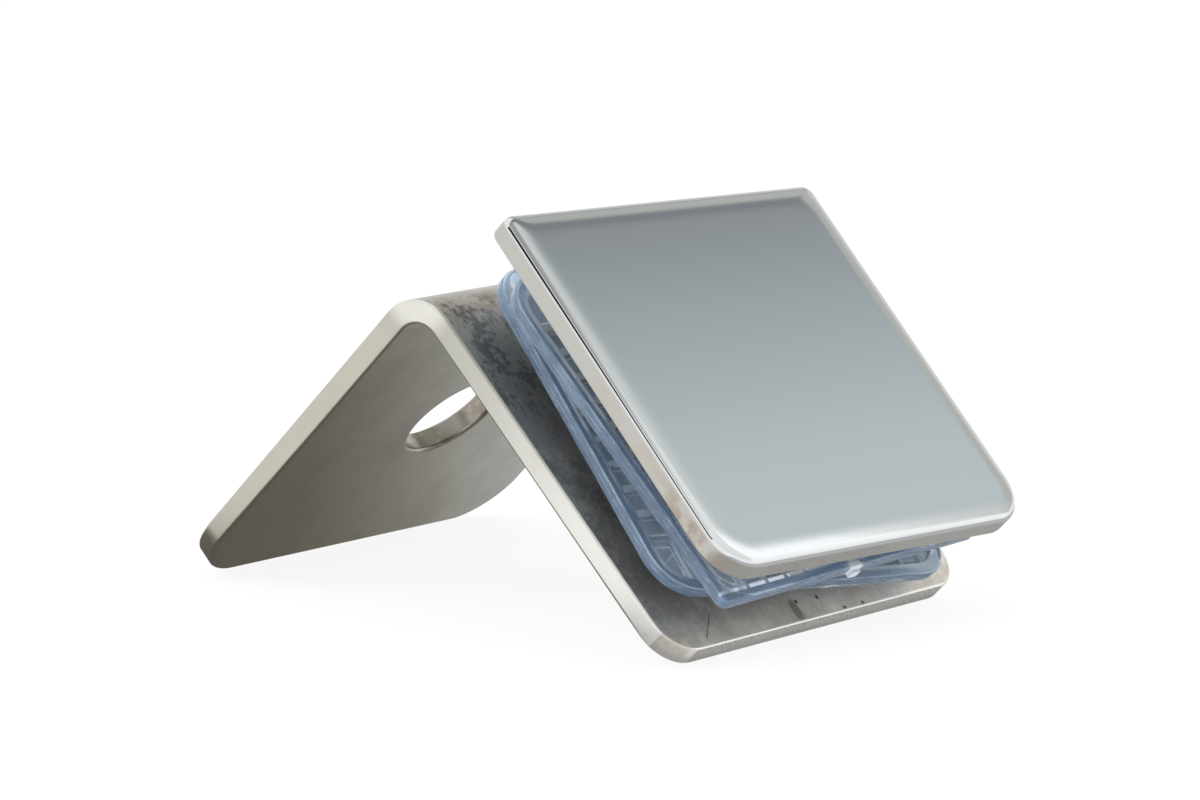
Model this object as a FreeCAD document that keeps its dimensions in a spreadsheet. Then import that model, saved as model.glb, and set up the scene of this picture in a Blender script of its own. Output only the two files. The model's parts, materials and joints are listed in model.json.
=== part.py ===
import FreeCAD
import Part
import math
import os
import Sketcher

# L-shaped glass clamp, in millimetres.
# A bent strip of sheet steel is fixed to a wall by one leg. A screw through the other leg draws a cover
# plate towards it, and the edge of a glass pane is held between them on two moulded gaskets.
#
# Every piece is drawn in the clamp's own axes: origin at the sharp outer corner of the bend, X down the
# clamp leg, Y across the strip, Z out of the clamp leg towards the plate. The wall leg runs along -Z.
# Pieces on the screw have their own origin on its axis. All are then turned together, so that the clamp
# stands on the ends of its two legs.

DRIVING = {
    # bent strip
    "strip_width": 50.0,
    "leg_length": 50.0,
    "sheet_thickness": 2.6,
    "bend_radius": 6.0,
    "clamp_corner": 4.5,
    "wall_corner": 7.0,
    "edge_ease": 0.3,
    "wall_hole": 12.0,
    "wall_hole_from_bend": 26.3,
    "wall_hole_ease": 0.5,
    "screw_hole": 9.0,
    "screw_from_bend": 25.5,
    # cover plate and its boss
    "plate_width": 50.0,
    "plate_above_screw": 22.0,
    "plate_below_screw": 24.0,
    "plate_thickness": 3.0,
    "plate_corner": 5.0,
    "plate_top_corner": 1.5,
    "plate_edge_roll": 0.9,
    "plate_gap": 10.3,
    "plate_swivel": -2.5,
    "boss_width": 14.0,
    "boss_length": 8.0,
    "boss_lead": 0.8,
    "tapped_hole": 7.9,
    "tapped_depth_in_plate": 1.0,
    # button-head screw
    "thread_width": 7.8,
    "thread_length": 12.0,
    "thread_lead": 0.8,
    "head_width": 14.0,
    "head_height": 4.4,
    "head_crown": 7.2,
    "socket_flats": 5.0,
    "socket_depth": 2.8,
    # gaskets
    "gasket_length": 42.4,
    "gasket_width": 44.4,
    "gasket_thickness": 1.3,
    "gasket_round_corner": 5.1,
    "gasket_square_corner": 1.0,
    "gasket_hole": 19.0,
    "gasket_rim": 1.5,
    "pocket_reach": 5.0,
    "pocket_depth": 0.45,
    "pocket_inner_corner": 0.8,
    "rib_width": 0.5,
    "rib_pitch": 3.2,
    "end_ribs": 12,
    "side_ribs": 10,
    "rib_root": 0.6,
    "gate_width": 1.4,
    "gate_proud": 0.4,
    "gate_height": 0.9,
    "inner_gasket_lift": 2.6,
    "inner_gasket_turn": -7.6,
    "inner_gasket_drop": 1.2,
    "inner_gasket_aside": 0.0,
    "outer_gasket_lift": 6.25,
    "outer_gasket_turn": 181.0,
    "outer_gasket_drop": 2.15,
    "outer_gasket_aside": -1.0,
    # how the clamp stands
    "stand_angle": 45.0,
}
NEAR = 0.01
UP = FreeCAD.Vector(0, 0, 1)

doc = FreeCAD.newDocument("GlassClamp")
sheet = doc.addObject("Spreadsheet::Sheet", "Sizes")
for row, (alias, number) in enumerate(DRIVING.items(), start=1):
    sheet.set(f"A{row}", alias)
    sheet.set(f"B{row}", str(number))
    sheet.setAlias(f"B{row}", alias)
doc.recompute()


def linked(formula):
    """The formula with its words turned into cells of the sheet."""
    words = formula.replace("(", " ( ").replace(")", " ) ").split()
    return " ".join(f"Sizes.{word}" if word in DRIVING else word for word in words)


def bind(item, prop, formula):
    item.setExpression(prop, linked(formula))


def value(formula):
    return float(sheet.evalExpression(linked(formula)))


def new_body(label):
    body = doc.addObject("PartDesign::Body", label)
    body.Label = label
    return body


def origin_part(body, role):
    return next(item for item in body.Origin.OriginFeatures if item.Role == role)


def new_sketch(body, plane, name, lift=None):
    sketch = body.newObject("Sketcher::SketchObject", name)
    sketch.AttachmentSupport = [(origin_part(body, plane), "")]
    sketch.MapMode = "FlatFace"
    if lift:
        bind(sketch, "AttachmentOffset.Base.z", lift)
    return sketch


def dimension(sketch, kind, where, formula):
    """A driving dimension of a sketch, bound to the sheet."""
    index = sketch.addConstraint(Sketcher.Constraint(kind, *where, value(formula)))
    bind(sketch, f"Constraints[{index}]", formula)


def point(x, y):
    return FreeCAD.Vector(x, y, 0)


def line(x1, y1, x2, y2):
    return Part.LineSegment(point(x1, y1), point(x2, y2)), 1, 2


def arc(x, y, radius, start, finish, backwards=False):
    """Arc about (x, y) from start to finish degrees; backwards when the outline runs clockwise along it."""
    whole = Part.Circle(point(x, y), UP, radius)
    curve = Part.ArcOfCircle(whole, math.radians(start), math.radians(finish))
    return (curve, 2, 1) if backwards else (curve, 1, 2)


def circle(sketch, width, x="0", y="0"):
    index = sketch.addGeometry(Part.Circle(point(value(x), value(y)), UP, value(width) / 2))
    dimension(sketch, "Diameter", (index,), width)
    dimension(sketch, "DistanceX", (-1, 1, index, 3), x)
    dimension(sketch, "DistanceY", (-1, 1, index, 3), y)


def closed_outline(sketch, pieces, tangent=True):
    """Join lines and arcs end to end; arcs may meet their neighbours smoothly."""
    first = sketch.GeometryCount
    for curve, _, _ in pieces:
        sketch.addGeometry(curve)
    for step, (curve, _, leave) in enumerate(pieces):
        after = (step + 1) % len(pieces)
        following, arrive, _ = pieces[after]
        bent = isinstance(curve, Part.ArcOfCircle) or isinstance(following, Part.ArcOfCircle)
        kind = "Tangent" if bent and tangent else "Coincident"
        sketch.addConstraint(Sketcher.Constraint(kind, first + step, leave, first + after, arrive))
        if isinstance(curve, Part.LineSegment):
            run = curve.EndPoint - curve.StartPoint
            if abs(run.y) < NEAR:
                sketch.addConstraint(Sketcher.Constraint("Horizontal", first + step))
            elif abs(run.x) < NEAR:
                sketch.addConstraint(Sketcher.Constraint("Vertical", first + step))
    return first


def rounded_outline(sketch, back, ahead, half, back_corner, ahead_corner):
    """Rectangle from -back to ahead along x and half to each side, with a corner radius for each end."""
    lo, hi, side = -value(back), value(ahead), value(half)
    near, far = value(back_corner), value(ahead_corner)
    first = closed_outline(sketch, [
        line(lo + near, -side, hi - far, -side),
        arc(hi - far, far - side, far, 270, 360),
        line(hi, far - side, hi, side - far),
        arc(hi - far, side - far, far, 0, 90),
        line(hi - far, side, lo + near, side),
        arc(lo + near, side - near, near, 90, 180),
        line(lo, side - near, lo, near - side),
        arc(lo + near, near - side, near, 180, 270),
    ])
    dimension(sketch, "DistanceX", (first + 6, 1, -1, 1), back)
    dimension(sketch, "DistanceX", (-1, 1, first + 2, 1), ahead)
    dimension(sketch, "DistanceY", (first, 1, -1, 1), half)
    dimension(sketch, "DistanceY", (-1, 1, first + 4, 1), half)
    for corner, radius in ((1, ahead_corner), (3, ahead_corner), (5, back_corner), (7, back_corner)):
        dimension(sketch, "Radius", (first + corner,), radius)


def rectangle(sketch, left, right, low, high):
    x1, x2, y1, y2 = value(left), value(right), value(low), value(high)
    first = closed_outline(sketch, [
        line(x1, y1, x2, y1),
        line(x2, y1, x2, y2),
        line(x2, y2, x1, y2),
        line(x1, y2, x1, y1),
    ])
    dimension(sketch, "DistanceX", (-1, 1, first, 1), left)
    dimension(sketch, "DistanceX", (-1, 1, first + 1, 1), right)
    dimension(sketch, "DistanceY", (-1, 1, first, 1), low)
    dimension(sketch, "DistanceY", (-1, 1, first + 2, 1), high)


def settle(body, feature, grows, before):
    """Recompute and make sure that the feature added or took away material."""
    doc.recompute()
    change = feature.Shape.Volume - before
    if (change > NEAR) != grows or abs(change) < NEAR:
        raise RuntimeError(f"{body.Label}.{feature.Name} changed the volume by {change:.3f}")
    body.Tip = feature
    return feature


def extrude(body, kind, sketch, name, length, reverse=False, symmetric=False):
    before = body.Shape.Volume if body.Tip else 0.0
    doc.recompute()
    if sketch.solve() != 0 or not sketch.FullyConstrained:
        raise RuntimeError(f"{body.Label}.{sketch.Name} is not held by its dimensions")
    feature = body.newObject(f"PartDesign::{kind}", name)
    feature.Profile = sketch
    bind(feature, "Length", length)
    feature.Reversed = reverse
    if symmetric:
        feature.SideType = "Symmetric"
    return settle(body, feature, kind == "Pad", before)


def dress(body, kind, name, size, wanted):
    """Fillet or chamfer on the edges that the test picks."""
    base = body.Tip
    names = [f"Edge{n}" for n, edge in enumerate(base.Shape.Edges, start=1) if wanted(edge)]
    before = base.Shape.Volume
    feature = body.newObject(f"PartDesign::{kind}", name)
    feature.Base = (base, names)
    bind(feature, "Radius" if kind == "Fillet" else "Size", size)
    return settle(body, feature, False, before)


def is_round(edge):
    return edge.isClosed()


def extents(edge):
    box = edge.BoundBox
    return box.XLength, box.YLength, box.ZLength


# Bent strip: an L profile across the strip, holes in both legs, rounded free corners and eased edges.
bracket = new_body("l_bracket")
leg, sheet_t, bend = value("leg_length"), value("sheet_thickness"), value("bend_radius")
profile = new_sketch(bracket, "XZ_Plane", "BentProfile")
first = closed_outline(profile, [
    line(leg, 0, bend, 0),
    arc(bend, -bend, bend, 90, 180),
    line(0, -bend, 0, -leg),
    line(0, -leg, sheet_t, -leg),
    line(sheet_t, -leg, sheet_t, -bend),
    arc(bend, -bend, bend - sheet_t, 90, 180, backwards=True),
    line(bend, -sheet_t, leg, -sheet_t),
    line(leg, -sheet_t, leg, 0),
])
profile.addConstraint(Sketcher.Constraint("PointOnObject", first, 1, -1))
profile.addConstraint(Sketcher.Constraint("PointOnObject", first + 2, 1, -2))
dimension(profile, "DistanceX", (-1, 1, first, 1), "leg_length")
dimension(profile, "DistanceY", (first + 2, 2, -1, 1), "leg_length")
dimension(profile, "DistanceX", (first + 3, 1, first + 3, 2), "sheet_thickness")
dimension(profile, "DistanceY", (first + 7, 1, first + 7, 2), "sheet_thickness")
dimension(profile, "Radius", (first + 1,), "bend_radius")
dimension(profile, "Radius", (first + 5,), "bend_radius - sheet_thickness")
extrude(bracket, "Pad", profile, "BentStrip", "strip_width", symmetric=True)

clamp_drill = new_sketch(bracket, "XY_Plane", "ScrewHoleOutline")
circle(clamp_drill, "screw_hole", "screw_from_bend")
extrude(bracket, "Pocket", clamp_drill, "ScrewHole", "sheet_thickness")
wall_drill = new_sketch(bracket, "YZ_Plane", "WallHoleOutline")
circle(wall_drill, "wall_hole", "0", "0 - wall_hole_from_bend")
extrude(bracket, "Pocket", wall_drill, "WallHole", "sheet_thickness", reverse=True)


def clamp_end_corner(edge):
    dx, dy, _ = extents(edge)
    return dx < NEAR and dy < NEAR and abs(edge.CenterOfMass.x - leg) < NEAR


def wall_end_corner(edge):
    _, dy, dz = extents(edge)
    return dz < NEAR and dy < NEAR and abs(edge.CenterOfMass.z + leg) < NEAR


def rim_of_strip(edge):
    """Outline edges of the strip, without the smooth lines at the bend and through the thickness."""
    straight_across = extents(edge)[1] > value("strip_width") - NEAR
    through = edge.Length < sheet_t + NEAR
    return not (is_round(edge) or straight_across or through)


def wall_hole_inner_rim(edge):
    return is_round(edge) and extents(edge)[0] < NEAR and abs(edge.CenterOfMass.x - sheet_t) < NEAR


def other_hole_rims(edge):
    flat = extents(edge)
    in_wall = flat[0] < NEAR and abs(edge.CenterOfMass.x) < NEAR
    in_clamp = flat[2] < NEAR
    return is_round(edge) and (in_wall or in_clamp)


dress(bracket, "Fillet", "ClampEndCorners", "clamp_corner", clamp_end_corner)
dress(bracket, "Fillet", "WallEndCorners", "wall_corner", wall_end_corner)
dress(bracket, "Chamfer", "WallHoleRim", "wall_hole_ease", wall_hole_inner_rim)
dress(bracket, "Chamfer", "HoleRims", "edge_ease", other_hole_rims)
dress(bracket, "Fillet", "StripEdges", "edge_ease", rim_of_strip)

# Cover plate: polished face with rolled edges, tapped from the back in line with its boss.
plate = new_body("clamp_plate")
plate_t = value("plate_thickness")
face = new_sketch(plate, "XY_Plane", "PlateOutline")
rounded_outline(face, "plate_above_screw", "plate_below_screw", "plate_width / 2",
                "plate_top_corner", "plate_corner")
extrude(plate, "Pad", face, "PlateSheet", "plate_thickness")
tapping = new_sketch(plate, "XY_Plane", "PlateTapping")
circle(tapping, "tapped_hole")
extrude(plate, "Pocket", tapping, "BlindHole", "tapped_depth_in_plate", reverse=True)


def lies_at(edge, height):
    return extents(edge)[2] < NEAR and abs(edge.CenterOfMass.z - height) < NEAR


dress(plate, "Fillet", "RolledFront", "plate_edge_roll", lambda edge: lies_at(edge, plate_t))
dress(plate, "Chamfer", "EasedBack", "edge_ease", lambda edge: lies_at(edge, 0) and not is_round(edge))

# Boss on the back of the plate, tapped through.
boss = new_body("threaded_boss")
boss_end = -value("boss_length")
ring = new_sketch(boss, "XY_Plane", "BossRing")
circle(ring, "boss_width")
circle(ring, "tapped_hole")
extrude(boss, "Pad", ring, "Bush", "boss_length", reverse=True)
dress(boss, "Chamfer", "BossLead", "boss_lead",
      lambda edge: lies_at(edge, boss_end) and edge.Length > math.pi * value("tapped_hole") + NEAR)

# Button-head screw, turned about its axis, with a hexagon socket. Its head's underside is at zero.
screw = new_body("clamp_screw")
shank, tip, lead = value("thread_width") / 2, value("thread_length"), value("thread_lead")
rim, crown, depth = value("head_width") / 2, value("head_crown") / 2, value("head_height")
centre = (rim ** 2 - crown ** 2 - depth ** 2) / (2 * depth)
dome = math.hypot(rim, centre)
dome_low = math.degrees(math.atan2(-depth - centre, crown))
dome_high = math.degrees(math.atan2(-centre, rim))
turning = new_sketch(screw, "XZ_Plane", "ScrewProfile")
first = closed_outline(turning, [
    line(0, -depth, crown, -depth),
    arc(0, centre, dome, dome_low, dome_high),
    line(rim, 0, shank, 0),
    line(shank, 0, shank, tip - lead),
    line(shank, tip - lead, shank - lead, tip),
    line(shank - lead, tip, 0, tip),
    line(0, tip, 0, -depth),
], tangent=False)
turning.addConstraint(Sketcher.Constraint("PointOnObject", first + 1, 3, -2))
turning.addConstraint(Sketcher.Constraint("PointOnObject", first + 6, 1, -2))
turning.addConstraint(Sketcher.Constraint("PointOnObject", first + 2, 1, -1))
dimension(turning, "DistanceX", (first, 1, first, 2), "head_crown / 2")
dimension(turning, "DistanceY", (first, 1, -1, 1), "head_height")
dimension(turning, "DistanceX", (-1, 1, first + 2, 1), "head_width / 2")
dimension(turning, "DistanceX", (-1, 1, first + 3, 1), "thread_width / 2")
dimension(turning, "DistanceY", (-1, 1, first + 5, 1), "thread_length")
dimension(turning, "DistanceX", (first + 4, 2, first + 4, 1), "thread_lead")
dimension(turning, "DistanceY", (first + 4, 1, first + 4, 2), "thread_lead")
doc.recompute()
turned = screw.newObject("PartDesign::Revolution", "TurnedScrew")
turned.Profile = turning
turned.ReferenceAxis = (turning, ["V_Axis"])
turned.Angle = 360.0
settle(screw, turned, True, 0.0)
socket = screw.newObject("PartDesign::SubtractivePrism", "HexSocket")
socket.Polygon = 6
socket.AttachmentSupport = [(origin_part(screw, "XY_Plane"), "")]
socket.MapMode = "FlatFace"
bind(socket, "AttachmentOffset.Base.z", "0 - head_height")
bind(socket, "Circumradius", "socket_flats / 3 ^ 0.5")
bind(socket, "Height", "socket_depth")
settle(screw, socket, False, turned.Shape.Volume)


def moulded_gasket(label, back_corner, back_pocket_corner):
    """Clear pad with a loose hole for the boss, a ring of ribbed pockets and a moulding gate."""
    body = new_body(label)
    pad = new_sketch(body, "XY_Plane", "PadOutline")
    rounded_outline(pad, "gasket_length / 2", "gasket_length / 2", "gasket_width / 2",
                    back_corner, "gasket_round_corner")
    circle(pad, "gasket_hole")
    extrude(body, "Pad", pad, "Pad", "gasket_thickness")

    trough = new_sketch(body, "XY_Plane", "PocketRing", "gasket_thickness")
    end, side = "gasket_length / 2 - gasket_rim", "gasket_width / 2 - gasket_rim"
    inner_end, inner_side = f"{end} - pocket_reach", f"{side} - pocket_reach"
    rounded_outline(trough, end, end, side, back_pocket_corner, "gasket_round_corner - gasket_rim")
    rounded_outline(trough, inner_end, inner_end, inner_side, "pocket_inner_corner", "pocket_inner_corner")
    extrude(body, "Pocket", trough, "PocketTrough", "pocket_depth")

    for name, outer, inner, count, ahead, at_end in (
        ("RoundEnd", end, inner_end, "end_ribs", True, True),
        ("BackEnd", end, inner_end, "end_ribs", False, True),
        ("LeftSide", side, inner_side, "side_ribs", True, False),
        ("RightSide", side, inner_side, "side_ribs", False, False),
    ):
        start = f"0 - ( {count} - 1 ) / 2 * rib_pitch"
        along = (f"{start} - rib_width / 2", f"{start} + rib_width / 2")
        reach = (f"{inner} - rib_root", f"{outer} + rib_root")
        if not ahead:
            reach = (f"0 - ( {outer} + rib_root )", f"0 - ( {inner} - rib_root )")
        spans = (*reach, *along) if at_end else (*along, *reach)
        bar = new_sketch(body, "XY_Plane", f"{name}RibOutline")
        rectangle(bar, *spans)
        rib = extrude(body, "Pad", bar, f"{name}Rib", "gasket_thickness")
        before = rib.Shape.Volume
        row_of_ribs = body.newObject("PartDesign::LinearPattern", f"{name}Ribs")
        row_of_ribs.Originals = [rib]
        row_of_ribs.Direction = (origin_part(body, "Y_Axis" if at_end else "X_Axis"), [""])
        bind(row_of_ribs, "Length", f"( {count} - 1 ) * rib_pitch")
        bind(row_of_ribs, "Occurrences", count)
        settle(body, row_of_ribs, True, before)

    gate = new_sketch(body, "XY_Plane", "GateOutline")
    rectangle(gate, "0 - gasket_length / 2 - gate_proud", "0 - gasket_length / 2 + gasket_rim / 2",
              "0 - gate_width / 2", "gate_width / 2")
    extrude(body, "Pad", gate, "Gate", "gate_height")
    return body


inner_gasket = moulded_gasket("inner_gasket", "gasket_round_corner", "gasket_round_corner - gasket_rim")
outer_gasket = moulded_gasket("outer_gasket", "gasket_square_corner", "pocket_inner_corner")


def on_screw(out, turn="0", drop="0", aside="0"):
    """Place by the screw's axis: out from the clamp leg's face, turned, down the leg and across it."""
    where = FreeCAD.Vector(value(f"screw_from_bend + {drop}"), value(aside), value(out))
    return FreeCAD.Placement(where, FreeCAD.Rotation(UP, value(turn)))


def hanging(gasket):
    return on_screw(f"{gasket}_lift", f"{gasket}_turn", f"{gasket}_drop", f"{gasket}_aside")


places = [
    (bracket, FreeCAD.Placement()),
    (plate, on_screw("plate_gap", "plate_swivel")),
    (boss, on_screw("plate_gap")),
    (screw, on_screw("0 - sheet_thickness")),
    (inner_gasket, hanging("inner_gasket")),
    (outer_gasket, hanging("outer_gasket")),
]
across = FreeCAD.Vector(0, 1, 0)
tilted = FreeCAD.Placement(FreeCAD.Vector(), FreeCAD.Rotation(across, value("stand_angle")))
for body, place in places:
    body.Placement = tilted.multiply(place)
doc.recompute()
box = Part.makeCompound([body.Shape for body, _ in places]).optimalBoundingBox()
to_floor = FreeCAD.Placement(FreeCAD.Vector(-box.Center.x, -box.Center.y, -box.ZMin), FreeCAD.Rotation())
for body, _ in places:
    body.Placement = to_floor.multiply(body.Placement)
doc.recompute()

for item in doc.Objects:
    if "Invalid" in item.State or "Error" in item.State:
        raise RuntimeError(f"{item.Name} did not recompute: {item.State}")
os.makedirs("parts", exist_ok=True)
for body, _ in places:
    shape = body.Shape
    if shape.isNull() or not shape.isValid() or len(shape.Solids) != 1:
        raise RuntimeError(f"{body.Label} is not one sound solid")
    shape.exportStep(f"parts/{body.Label}.step")
    size = shape.optimalBoundingBox()
    print(f"{body.Label}: {shape.Volume:.1f} mm3, {len(shape.Faces)} faces")
    print(f"  from {size.XMin:.2f} {size.YMin:.2f} {size.ZMin:.2f}")
    print(f"  to {size.XMax:.2f} {size.YMax:.2f} {size.ZMax:.2f}")
print(f"outer corner of the bend at x {-box.Center.x:.3f} y {-box.Center.y:.3f} z {-box.ZMin:.3f}")
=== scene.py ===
import json
import math

import bpy
from mathutils import Matrix, Vector
from mathutils.geometry import delaunay_2d_cdt


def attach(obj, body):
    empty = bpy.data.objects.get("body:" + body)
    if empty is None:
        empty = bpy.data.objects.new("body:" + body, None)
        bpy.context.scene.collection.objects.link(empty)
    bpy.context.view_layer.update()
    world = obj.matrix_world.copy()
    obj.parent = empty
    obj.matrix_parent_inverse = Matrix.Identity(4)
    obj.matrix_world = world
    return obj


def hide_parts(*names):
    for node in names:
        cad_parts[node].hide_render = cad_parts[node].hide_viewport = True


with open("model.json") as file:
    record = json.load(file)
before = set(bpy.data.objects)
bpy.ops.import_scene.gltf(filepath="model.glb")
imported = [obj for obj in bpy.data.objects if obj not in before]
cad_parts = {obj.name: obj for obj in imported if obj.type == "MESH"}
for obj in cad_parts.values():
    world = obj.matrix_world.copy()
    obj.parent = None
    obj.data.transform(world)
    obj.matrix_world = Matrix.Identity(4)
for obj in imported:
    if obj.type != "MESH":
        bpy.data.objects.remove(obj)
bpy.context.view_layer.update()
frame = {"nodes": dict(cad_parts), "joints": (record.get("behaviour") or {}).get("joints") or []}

mm = 0.001
scene = bpy.context.scene
print("frame loaded:", ", ".join(sorted(frame["nodes"])))

# the clamp's own axes, in the row frame: down the clamp leg, across the strip, out of the clamp leg
screwJoint = next(joint for joint in frame["joints"] if joint["name"] == "screw_turn")
outOfLeg = Vector(screwJoint["axis"]).normalized()
acrossStrip = Vector((0, 1, 0))
downLeg = acrossStrip.cross(outOfLeg)
axisPoint = Vector(screwJoint["pos_m"])  # where the screw's axis meets the clamp leg's outer face
clampTurn = Matrix((downLeg, acrossStrip, outOfLeg)).transposed()


def stackPlace(lift, turn=0.0, drop=0.0, aside=0.0):
    # a piece on the screw: off the clamp leg, turned about the screw's axis, hung down the leg and aside
    spin = Matrix.Rotation(math.radians(turn), 3, "Z")
    shift = outOfLeg * lift + downLeg * drop + acrossStrip * aside
    return clampTurn @ spin, axisPoint + shift * mm


def operatorPair(operation):
    # an operator and its reflected form, each adding one Math node
    def plain(self, other):
        return self.maths(operation, self, other)

    def reflected(self, other):
        return self.maths(operation, other, self)
    return plain, reflected


class Wire:
    # a socket, with Python's operators for its maths
    def __init__(self, tree, socket=None):
        self.tree = tree
        self.socket = socket

    __add__, __radd__ = operatorPair("ADD")
    __sub__, __rsub__ = operatorPair("SUBTRACT")
    __mul__, __rmul__ = operatorPair("MULTIPLY")
    __truediv__, __rtruediv__ = operatorPair("DIVIDE")
    __pow__, __rpow__ = operatorPair("POWER")

    def node(self, kind, settings=None, sockets=None, out=0):
        # any node: its settings first, then the values or links of its sockets
        made = self.tree.nodes.new(kind)
        for key, setting in (settings or {}).items():
            if key == "stops":
                fillRamp(made.color_ramp, setting)
            else:
                setattr(made, key, setting)
        for key, given in (sockets or {}).items():
            for one in given if isinstance(given, list) else [given]:
                if isinstance(one, Wire):
                    self.tree.links.new(one.socket, made.inputs[key])
                elif one is not None:
                    made.inputs[key].default_value = one
        return Wire(self.tree, made.outputs[out]) if made.outputs else made

    def sibling(self, name):
        return Wire(self.tree, self.socket.node.outputs[name])

    def maths(self, operation, first, second=None):
        return self.node("ShaderNodeMath", {"operation": operation}, {0: first, 1: second})

    def absolute(self):
        return self.maths("ABSOLUTE", self)

    def maximum(self, other):
        return self.maths("MAXIMUM", self, other)

    def minimum(self, other):
        return self.maths("MINIMUM", self, other)

    def step(self, low, high):
        # 0 below low, 1 above high, smooth between; also runs downwards when low is above high
        return self.node("ShaderNodeMapRange", {"interpolation_type": "SMOOTHSTEP"},
                         {"Value": self, "From Min": low, "From Max": high})

    def between(self, rise, fall):
        # 1 between a rise and a fall, each the pair of places that step takes
        return self.step(*rise) * self.step(*fall)

    def share(self, low, high):
        # how far this socket has come from low to high
        return (self - low) / (high - low)

    def spread(self, low, high):
        # a value that goes from low to high as this socket goes from 0 to 1
        return low + self * (high - low)

    def mix(self, low, high):
        # colours, with this socket as the share of the second
        return self.node("ShaderNodeMix", {"data_type": "RGBA"}, {"Factor": self, 6: low, 7: high}, out=2)

    def ramp(self, stops):
        return self.node("ShaderNodeValToRGB", {"stops": stops}, {"Fac": self})


def fillRamp(ramp, stops):
    while len(ramp.elements) < len(stops):
        ramp.elements.new(0.5)
    for element, (place, colour) in zip(ramp.elements, stops):
        element.position = place
        element.color = colour if len(colour) == 4 else (*colour, 1)


def newMaterial(name):
    material = bpy.data.materials.new(name)
    material.use_nodes = True
    tree = material.node_tree
    tree.nodes.clear()
    return material, Wire(tree)


def surface(start, shader):
    start.node("ShaderNodeOutputMaterial", None, {"Surface": shader})


def metalSurface(start, colour, metallic, roughness, bump):
    surface(start, start.node("ShaderNodeBsdfPrincipled", None, {
        "Base Color": colour, "Metallic": metallic, "Roughness": roughness, "Normal": bump}))


def bumped(start, height, strength, distance):
    return start.node("ShaderNodeBump", None, {"Strength": strength, "Distance": distance, "Height": height})


def grey(value):
    return (value, value, value, 1)


def painted(colour, layers):
    # layers of paint over a colour, each a mask and its own colour
    for mask, paint in layers:
        colour = mask.mix(colour, paint)
    return colour


def pieceCoordinates(start, rotation=clampTurn, origin=axisPoint):
    # Object coordinates as millimetres in a piece's own axes: down the leg, across it and out of it
    place = start.node("ShaderNodeTexCoord", out=3)
    turned = start.node("ShaderNodeMapping", {"vector_type": "TEXTURE"},
                        {"Vector": place, "Location": origin, "Rotation": rotation.to_euler(),
                         "Scale": (mm, mm, mm)})
    apart = start.node("ShaderNodeSeparateXYZ", None, {"Vector": turned})
    return turned, apart, apart.sibling("Y"), apart.sibling("Z")


def noise(start, place, scale, detail, roughness, stretch=None):
    # the scale is per millimetre, and a stretch changes it along each axis
    if stretch:
        place = start.node("ShaderNodeVectorMath", {"operation": "MULTIPLY"}, {0: place, 1: stretch})
    return start.node("ShaderNodeTexNoise", None,
                      {"Vector": place, "Scale": scale, "Detail": detail, "Roughness": roughness})


def patches(start, place, scale):
    # a noise cut into soft patches of 0 and 1
    return noise(start, place, scale, 2.0, 0.5).step(0.42, 0.58)


def blend(first, second, share):
    # two noises as one, with the first one's share
    return first * share + second * (1 - share)


def spot(down, across, place, reach):
    # 1 at a place, fading to 0 within its reach in millimetres
    sideways, lengthways = (across - place[1]) / reach[1], (down - place[0]) / reach[0]
    return (sideways * sideways + lengthways * lengthways).step(1.0, 0.25)


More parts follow.
